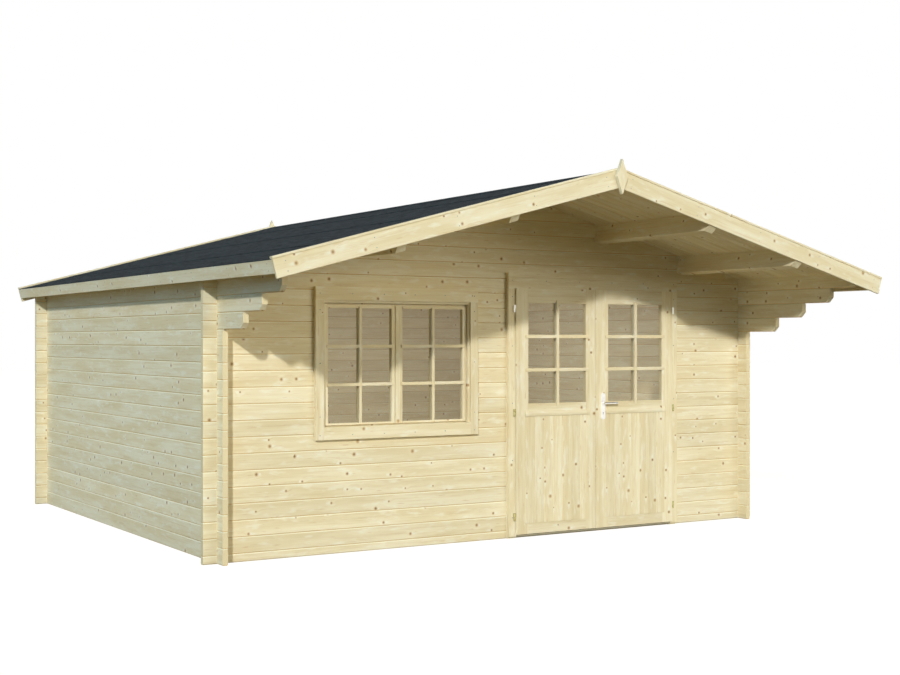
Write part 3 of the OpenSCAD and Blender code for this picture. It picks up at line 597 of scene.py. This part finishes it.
# The window frame and its casings. The frame of planed spruce grips the cut logs, and flat
# casing boards cover the joint outside and inside, screwed through their faces.
WINDOW_FRAME_SIDE, WINDOW_FRAME_HEAD = 0.078, 0.051
WINDOW_CASING_SIDE, WINDOW_CASING_HEAD = 0.066, 0.096


def dress_surround(name, seed, side, head):
    """Spruce for a frame or casing whose sides stand upright under its head."""
    low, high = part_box(name)
    uprights = ((low.x + high.x) / 2, (high.x - low.x) / 2 - side, high.z - head)
    dress(node_spruce(name + "_timber", "X", seed, middle=(0.0, low.y), uprights=uprights,
                      knots=0.22), name)


dress_surround("window_frame", 950, WINDOW_FRAME_SIDE, WINDOW_FRAME_HEAD)
dress_surround("window_casing", 970, WINDOW_CASING_SIDE, WINDOW_CASING_HEAD)
dress_surround("window_inner_casing", 990, WINDOW_CASING_SIDE, WINDOW_CASING_HEAD)


# The doorway. Jambs, head and threshold are planed spruce, with casings outside and inside.
# The threshold is mixed half way towards a dark grey.
DOOR_FRAME_SIDE, DOOR_CASING_SIDE = 0.110, 0.072
DOOR_HEAD = 0.126
dress_surround("door_frame", 1010, DOOR_FRAME_SIDE, DOOR_HEAD)
dress_surround("door_casing", 1030, DOOR_CASING_SIDE, DOOR_HEAD)
dress_surround("door_inner_casing", 1050, DOOR_CASING_SIDE, DOOR_HEAD)
dress(node_spruce("threshold_timber", "X", 1070, knots=0.2, tone_shift=0.5), "door_threshold")


# The door leaves. Framed leaves of planed spruce, glazed above the middle rail and filled with
# upright tongued and grooved boards below, which stand a little proud of the frame.
BOTTOM_RAIL, MIDDLE_RAIL, MIDDLE_RAIL_TOP = 0.109, 0.126, 1.007
DOOR_REBATE = 0.0087
DOOR_BAR, DOOR_BAR_LAPS = 0.026, (0.026, 0.025)
DOOR_BOARD, NARROWEST_BOARD = 0.088, 0.010
PANEL_PROUD, PANEL_BACK = 0.007, 0.018
PANEL_V, PANEL_JOINT = 0.003, 0.0001
door_board_spruce = piece_spruce("door_board_timber", 1200, 0.3)


def door_board(width, depth):
    """Outline of a board from its joint with the leaf outwards, with its outer edges bevelled."""
    return [(PANEL_JOINT, 0.0), (width - PANEL_JOINT, 0.0),
            (width - PANEL_JOINT, depth - PANEL_V), (width - PANEL_V, depth), (PANEL_V, depth),
            (PANEL_JOINT, depth - PANEL_V)]


for side, seed in (("left", 1100), ("right", 1130)):
    name, body = f"{side}_door_leaf", f"{side}_door"
    low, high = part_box(name)
    pane_low, pane_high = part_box(f"{side}_door_glass")
    panel_low, panel_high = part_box(f"{side}_door_panel")
    opening = (pane_low.x + DOOR_REBATE, pane_high.x - DOOR_REBATE,
               pane_low.z + DOOR_REBATE, pane_high.z - DOOR_REBATE)
    leaf_face = panel_low.y + PANEL_PROUD
    glazing(f"{side}_door_bars", body, opening, leaf_face, pane_high.y, high.y, DOOR_BAR,
            DOOR_BAR_LAPS)
    uprights = ((opening[0] + opening[1]) / 2, (opening[1] - opening[0]) / 2, high.z + 1.0)
    dress(node_spruce(name + "_timber", "X", seed, middle=(0.0, leaf_face), uprights=uprights,
                      knots=0.2), name)
    # The boards show their V joints outside, and inside between the stiles and rails
    boards = Joinery(f"{side}_door_boards")
    number = round((panel_high.x - panel_low.x) / DOOR_BOARD)
    cover = (panel_high.x - panel_low.x) / number
    front, back = panel_low.y, leaf_face - BAR_CLEAR
    outside = [(a, -t) for a, t in door_board(cover, back - front)]
    inner_x0, inner_x1 = opening[0] + SASH_PLAY, opening[1] - SASH_PLAY
    inner_z0 = low.z + BOTTOM_RAIL + SASH_PLAY
    inner_z1 = low.z + MIDDLE_RAIL_TOP - MIDDLE_RAIL - SASH_PLAY
    for i in range(number):
        x0 = panel_low.x + i * cover
        boards.member((x0, back, panel_low.z), (0, 0, 1), (1, 0, 0), panel_high.z - panel_low.z,
                      outside)
        a0, a1 = max(x0, inner_x0), min(x0 + cover, inner_x1)
        if a1 - a0 > NARROWEST_BOARD:
            boards.member((a0, leaf_face, inner_z0), (0, 0, 1), (1, 0, 0), inner_z1 - inner_z0,
                          door_board(a1 - a0, PANEL_BACK))
    boards.shape(door_board_spruce, body, "spruce", [f"{side}_door_panel"])


# The floor. Boards with tight joints run across the cabin on joists that lie on the ground.
FLOOR_BOARD = 0.113
FLOOR_JOINT = 0.0002
floor_low, floor_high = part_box("floor_boards")
floor = Joinery("floor_planks")
number = round((floor_high.y - floor_low.y) / FLOOR_BOARD)
cover = (floor_high.y - floor_low.y) / number
for i in range(number):
    floor.bar((floor_low.x, floor_low.y + i * cover + FLOOR_JOINT, floor_low.z),
              (floor_high.x, floor_low.y + (i + 1) * cover - FLOOR_JOINT, floor_high.z), "X")
floor.shape(piece_spruce("floor_timber", 1300, 0.4), "cabin", "spruce", ["floor_boards"])
dress(node_spruce("joist_timber", "Y", 1400), "floor_joists")


# The boards along the roof's edges. Planed boards are nailed along the eaves and up both
# gables, with a cap strip over the edge of the felt and a pointed board at each peak.
BARGE_HEIGHT, BARGE_THICK = 0.120, 0.020
CAP_THICK, CAP_OVERHANG, CAP_REST = 0.016, 0.004, 0.0001
EAVE_HEIGHT, EAVE_THICK = 0.087, 0.019
BROKEN_EDGE = 0.003


def slope_board(boards, side, y, width, foot, top, length):
    """A board down a slope from the ridge, from y back over a width, between two heights."""
    down, _ = down_slope(side)
    outline = [(a + width / 2, t + (foot + top) / 2)
               for a, t in chamfered(width, top - foot, BROKEN_EDGE)]
    boards.member((0.0, y if side > 0 else y + width, RIDGE), down, (0, side, 0), length, outline,
                  (-math.tan(ROOF_PITCH), 0.0))


def edge_length(label):
    """Length of a slope from the ridge to the outer end of its bargeboards."""
    low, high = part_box(f"{label}_bargeboards")
    reach = max(abs(low.x), abs(high.x))
    return (reach - FELT_TOP * math.sin(ROOF_PITCH)) / math.cos(ROOF_PITCH)


for number, (label, side) in enumerate((("left", -1), ("right", 1))):
    low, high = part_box(f"{label}_bargeboards")
    length = edge_length(label)
    barge = Joinery(f"{label}_barge_planks")
    caps = Joinery(f"{label}_cap_strips")
    for y in (low.y + CAP_OVERHANG, high.y - BARGE_THICK - CAP_OVERHANG):
        slope_board(barge, side, y, BARGE_THICK, FELT_TOP - BARGE_HEIGHT, FELT_TOP, length)
    for y in (low.y, high.y - CAP_WIDTH):
        slope_board(caps, side, y, CAP_WIDTH, FELT_TOP + CAP_REST, FELT_TOP + CAP_THICK, length)
    barge.shape(piece_spruce(f"{label}_barge_timber", 1500 + 40 * number, 0.3), "cabin", "spruce",
                [f"{label}_bargeboards"])
    caps.shape(piece_spruce(f"{label}_cap_timber", 1520 + 40 * number, 0.1), "cabin", "spruce",
               [f"{label}_barge_caps"])
    eave = Joinery(f"{label}_eave_plank")
    down, up = down_slope(side)
    eave_low, eave_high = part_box(f"{label}_eave_board")
    middle = down * (length - EAVE_THICK / 2) + up * (ROOF_THICK - EAVE_HEIGHT / 2)
    eave.member(Vector((0.0, eave_low.y, RIDGE)) + middle, (0, 1, 0), up,
                eave_high.y - eave_low.y, chamfered(EAVE_HEIGHT, EAVE_THICK, BROKEN_EDGE))
    eave.shape(piece_spruce(f"{label}_eave_timber", 1600 + 10 * number, 0.25), "cabin", "spruce",
               [f"{label}_eave_board"])
dress(node_spruce("finial_timber", "Z", 1650, split="Y", knots=0.1), "finials")


# The glass. Clear float glass, 4 mm thick and very slightly wavy, lies in the rebates of the
# sashes and door leaves, held by the beads. It lets the light of the lamps through.
FLOAT_GLASS, GLASS_SHADE = srgb(246, 247, 246), srgb(222, 221, 218)


def glass_material():
    material, w = new_material("clear_glass")
    spot = w.add("TexCoord").outputs["Object"]
    wave = w.add("Bump", {"Strength": 0.04, "Distance": 0.002, "Height": w.noise(spot, 2.5, 1.0)})
    glass = w.add("BsdfPrincipled", {"Base Color": FLOAT_GLASS, "Roughness": 0.0, "IOR": 1.5,
                                     "Transmission Weight": 1.0, "Normal": wave.outputs[0]})
    clear = w.add("BsdfTransparent", {"Color": GLASS_SHADE})
    ray = w.add("LightPath").outputs
    let_through = w.math("MAXIMUM", ray["Is Shadow Ray"], ray["Is Diffuse Ray"])
    w.output(w.add("MixShader", {0: let_through, 1: glass.outputs[0], 2: clear.outputs[0]}))
    return material


dress(glass_material(), "window_glass", "left_door_glass", "right_door_glass")


# The ironwork. Lift-off hinges of yellowed zinc-plated steel, the upper ones painted near-white
# as a reflection, and a lever with long plates of satin aluminium on the right leaf.
# Above this height the hinges are painted near-white as a reflection
UPPER_HINGE = 1.5
YELLOW_ZINC, DULL_ZINC, UPPER_HINGE_REFLECTION = srgb(204, 196, 138), srgb(166, 156, 100), srgb(248, 246, 236)
SATIN_PLATE, SATIN_PLATE_SHADE = srgb(254, 253, 250), srgb(244, 243, 239)
SATIN_LEVER, SATIN_LEVER_SHADE = srgb(240, 239, 236), srgb(222, 221, 218)


def metal_material(name, colour, shade, roughness, brush, bright=None):
    """Plated or brushed metal. bright is a (height, colour) above which a reflection is painted."""
    material, w = new_material(name)
    spot = w.add("TexCoord").outputs["Object"]
    cloud = w.noise(spot, 60.0, 4.0, 0.6)
    lines = w.noise(w.stretch(spot, brush), 1.0, 2.0)
    finish = w.mix(w.fade(cloud, 0.35, 0.7), colour, shade)
    if bright:
        # A painted reflection whitens the metal above the given height
        height = w.add("SeparateXYZ", {0: spot}).outputs[2]
        finish = w.mix(w.math("GREATER_THAN", height, bright[0]), finish, bright[1])
    bump = w.add("Bump", {"Strength": 0.15, "Distance": 0.0003, "Height": lines})
    w.output(w.add("BsdfPrincipled", {
        "Base Color": finish, "Metallic": 1.0, "Normal": bump.outputs[0],
        "Roughness": w.fade(lines, 0.3, 0.7, roughness, roughness + 0.12)}))
    return material


dress(metal_material("zinc_plate", YELLOW_ZINC, DULL_ZINC, 0.38, (300.0, 300.0, 60.0),
                     (UPPER_HINGE, UPPER_HINGE_REFLECTION)),
      "door_frame_hinges", "left_door_hinges", "right_door_hinges")
dress(metal_material("satin_plate", SATIN_PLATE, SATIN_PLATE_SHADE, 0.42, (400.0, 400.0, 900.0)),
      "lock_plates")
dress(metal_material("satin_lever", SATIN_LEVER, SATIN_LEVER_SHADE, 0.26, (400.0, 900.0, 900.0)),
      "door_handle")


# The fixings. Zinc-plated screws hold the casings, and round nails the boards along the roof's
# edges. A turned core sits in the keyhole, painted near-black as the shade inside the hole.
HEAD_PROFILE = ((1.0, 0.0), (0.9, 0.7), (0.55, 1.0), (0.38, 0.15))
HEAD_SIDES = 12
SCREW_RADIUS, NAIL_RADIUS, HEAD_RISE = 0.0042, 0.0035, 0.0006
SCREWS_ACROSS, NAILS_UP_BARGE = 6, 5
WINDOW_SCREWS = {"side": 0.033, "head": 0.048, "heights": (0.98, 1.36, 1.74)}
DOOR_SCREWS = {"side": 0.036, "head": 0.062, "heights": (0.16, 0.60, 1.04, 1.48, 1.86)}
NAIL_STEP, NAIL_EDGE = 0.6, 0.028
FIRST_NAIL, LAST_NAIL = 0.12, 0.08
EAVE_NAIL_RISE = 0.022
PALE_ZINC, ZINC_SHADE = srgb(196, 194, 180), srgb(158, 156, 142)


def turned_heads(heads, spots, radius, rise):
    """Adds low turned heads with a dimple, each on a spot and facing along a direction."""
    turns = [math.tau * step / HEAD_SIDES for step in range(HEAD_SIDES)]
    for spot, facing in spots:
        out = Vector(facing).normalized()
        side = out.orthogonal().normalized()
        other = out.cross(side)
        rings = []
        for share, height in HEAD_PROFILE:
            centre = Vector(spot) + out * rise * height
            rings.append([heads.mesh.verts.new(centre + radius * share * (
                side * math.cos(turn) + other * math.sin(turn))) for turn in turns])
        for outer, inner in zip(rings, rings[1:]):
            for i in range(HEAD_SIDES):
                j = (i + 1) % HEAD_SIDES
                heads.mesh.faces.new([outer[i], outer[j], inner[j], inner[i]])
        heads.mesh.faces.new(rings[-1])
        heads.mesh.faces.new(rings[0][::-1])


def spread(low, high, count):
    return [low + (high - low) * i / (count - 1) for i in range(count)]


zinc_fixings = metal_material("zinc_fixings", PALE_ZINC, ZINC_SHADE, 0.4, (300.0, 300.0, 300.0))
screws = Joinery("casing_screws")
for name, inset in (("window_casing", WINDOW_SCREWS), ("door_casing", DOOR_SCREWS)):
    low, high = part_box(name)
    left, right = low.x + inset["side"], high.x - inset["side"]
    columns = spread(left, right, SCREWS_ACROSS)
    spots = [(x, low.y, high.z - inset["head"]) for x in columns]
    spots += [(x, low.y, z) for x in (left, right) for z in inset["heights"]]
    if name == "window_casing":
        spots += [(x, low.y, low.z + inset["side"]) for x in columns]
    turned_heads(screws, [(spot, (0, -1, 0)) for spot in spots], SCREW_RADIUS, HEAD_RISE)
screws.shape(zinc_fixings, "cabin", "zinc")

nails = Joinery("edge_nails")
for side, label in ((-1, "left"), (1, "right")):
    down, up = down_slope(side)
    length = edge_length(label)
    barge_low, barge_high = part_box(f"{label}_bargeboards")
    eave_low, eave_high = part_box(f"{label}_eave_board")
    spots = []
    for y, facing in ((barge_low.y + CAP_OVERHANG, (0, -1, 0)),
                      (barge_high.y - CAP_OVERHANG, (0, 1, 0))):
        for along in spread(FIRST_NAIL, length - LAST_NAIL, NAILS_UP_BARGE):
            for rise in (FELT_TOP - NAIL_EDGE, FELT_TOP - BARGE_HEIGHT + NAIL_EDGE):
                spots.append((Vector((0.0, y, RIDGE)) + down * along + up * rise, facing))
    rows = round((eave_high.y - eave_low.y) / NAIL_STEP)
    for y in spread(eave_low.y + LAST_NAIL, eave_high.y - LAST_NAIL, rows):
        for rise in (-EAVE_NAIL_RISE, EAVE_NAIL_RISE):
            height = ROOF_THICK - EAVE_HEIGHT / 2 + rise
            spots.append((Vector((0.0, y, RIDGE)) + down * length + up * height, down))
    turned_heads(nails, spots, NAIL_RADIUS, HEAD_RISE)
nails.shape(zinc_fixings, "cabin", "zinc")

KEYHOLE_RADIUS, KEYHOLE_BELOW = 0.0045, 0.053
CORE_DEPTH, CORE_PLAY = 0.0068, 0.0003
KEY_SLOT_HALF, KEY_SLOT_FOOT, KEY_SLOT_EDGE = 0.0019, 0.0132, 0.0004
KEY_SLOT_DEPTH = 0.6 * CORE_DEPTH
PLATE_THICK = 0.008
# The core and its slot are painted near-black, as the shade inside the keyhole
KEYHOLE_SHADE, DEEP_KEYHOLE_SHADE = srgb(28, 26, 22), srgb(18, 17, 15)
plate_low, plate_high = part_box("lock_plates")
core = Joinery("keyhole_core")
middle = (plate_low + plate_high) / 2
key = Vector((middle.x, plate_low.y + PLATE_THICK - BAR_CLEAR, middle.z - KEYHOLE_BELOW))
turned_heads(core, [(key, (0, -1, 0))], KEYHOLE_RADIUS - CORE_PLAY, CORE_DEPTH)
core.bar((key.x - KEY_SLOT_HALF, key.y - KEY_SLOT_DEPTH, key.z - KEY_SLOT_FOOT),
         (key.x + KEY_SLOT_HALF, key.y, key.z - KEYHOLE_RADIUS), "Z", KEY_SLOT_EDGE)
core.shape(metal_material("lock_core", KEYHOLE_SHADE, DEEP_KEYHOLE_SHADE, 0.5, (300.0, 300.0, 300.0)),
           "right_door", "satin_metal")


# The studio. A pale floor that runs to white, a low sun from the left of the front, a wide warm
# light from the right of the front, a faint blue one from the left, a soft one from behind for the
# unseen sides, and the camera at eye height.
FLOOR_TONE, PURE_WHITE = srgb(122, 111, 76), (1.0, 1.0, 1.0, 1.0)
FLOOR_REACH, FLOOR_DEPTH = 60.0, -0.0005
FLOOR_GLOW = 0.97


def seen_rays(w):
    """1 for what the camera sees straight, mirrored or through glass, and 0 for other light."""
    ray = w.add("LightPath").outputs
    mirrored = w.math("MAXIMUM", ray["Is Glossy Ray"], ray["Is Transmission Ray"])
    return w.math("MAXIMUM", ray["Is Camera Ray"], mirrored)


def studio_floor_material():
    material, w = new_material("studio_floor")
    matt = w.add("BsdfDiffuse", {"Color": FLOOR_TONE})
    glow = w.add("Emission", {"Color": PURE_WHITE,
                              "Strength": w.math("MULTIPLY", seen_rays(w), FLOOR_GLOW)})
    w.output(w.add("AddShader", {0: matt.outputs[0], 1: glow.outputs[0]}))
    return material


stage_mesh = bmesh.new()
bmesh.ops.create_grid(stage_mesh, x_segments=8, y_segments=8, size=FLOOR_REACH)
stage_data = bpy.data.meshes.new("studio_floor")
stage_mesh.to_mesh(stage_data)
stage_mesh.free()
stage_data.materials.append(studio_floor_material())
stage_floor = bpy.data.objects.new("studio_floor", stage_data)
stage_floor.location.z = FLOOR_DEPTH
bpy.context.scene.collection.objects.link(stage_floor)

for label, travel, energy, disc, colour in (
        ("low_sun", (0.76, 1.0, -0.52), 2.1, 2.4, (0.98, 1.0, 0.99)),
        ("wide_front_light", (-0.6, 1.0, -0.1), 1.72, 40.0, (1.0, 0.98, 0.84)),
        ("wide_left_light", (1.0, 0.25, -0.25), 1.2, 80.0, (0.40, 0.72, 1.0)),
        ("wide_back_light", (-0.45, -1.0, -0.3), 1.1, 70.0, (1.0, 0.97, 0.90))):
    lamp_data = bpy.data.lights.new(label, "SUN")
    lamp_data.energy = energy
    lamp_data.angle = math.radians(disc)
    lamp_data.color = colour
    lamp = bpy.data.objects.new(label, lamp_data)
    lamp.rotation_euler = Vector(travel).to_track_quat("-Z", "Y").to_euler()
    # The wide lights stay out of what the panes and the polished metal mirror
    lamp.visible_glossy = lamp.visible_transmission = label == "low_sun"
    bpy.context.scene.collection.objects.link(lamp)

# A soft lamp under the ridge lights the room behind the glass
ROOM_LAMP_SIZE, ROOM_LAMP_PLACE = (3.0, 2.0), (0.0, 0.3, 2.1)
room_lamp_data = bpy.data.lights.new("room_lamp", "AREA")
room_lamp_data.shape = "RECTANGLE"
room_lamp_data.size, room_lamp_data.size_y = ROOM_LAMP_SIZE
room_lamp_data.energy = 30.0
room_lamp_data.color = (0.78, 0.86, 0.94)
room_lamp = bpy.data.objects.new("room_lamp", room_lamp_data)
room_lamp.location = ROOM_LAMP_PLACE
room_lamp.visible_camera = False
room_lamp.visible_glossy = False
room_lamp.visible_transmission = False
bpy.context.scene.collection.objects.link(room_lamp)

# White all round where it is seen, and a trace of blue light on the object
surround = bpy.data.worlds.new("studio")
bpy.context.scene.world = surround
surround.use_nodes = True
surround.node_tree.nodes.clear()
w = Wiring(surround.node_tree)
fill = w.add("Background", {"Color": (0.62, 0.78, 1.0, 1.0), "Strength": 0.02})
white = w.add("Background", {"Color": PURE_WHITE, "Strength": 1.0})
blend = w.add("MixShader", {0: seen_rays(w), 1: fill.outputs[0], 2: white.outputs[0]})
w.tree.links.new(blend.outputs[0], w.add("OutputWorld").inputs[0])

# The camera stands at eye height, level, and is turned to the cabin's left front corner
SENSOR_WIDTH, FRAME_WIDTH = 36.0, 900
FOCAL_LENGTH, RISE = 1402.56, 3.06
camera_data = bpy.data.cameras.new("camera")
camera_data.sensor_fit = "HORIZONTAL"
camera_data.sensor_width = SENSOR_WIDTH
camera_data.lens = FOCAL_LENGTH / FRAME_WIDTH * SENSOR_WIDTH
camera_data.shift_y = RISE / FRAME_WIDTH
camera_data.clip_end = 200.0
camera = bpy.data.objects.new("camera", camera_data)
camera.location = (-6.03958, -10.48843, 1.52138)
camera.rotation_euler = (math.radians(90.0), 0.0, math.radians(-31.53))
bpy.context.scene.collection.objects.link(camera)
bpy.context.scene.camera = camera
bpy.context.scene.view_settings.view_transform = "Standard"
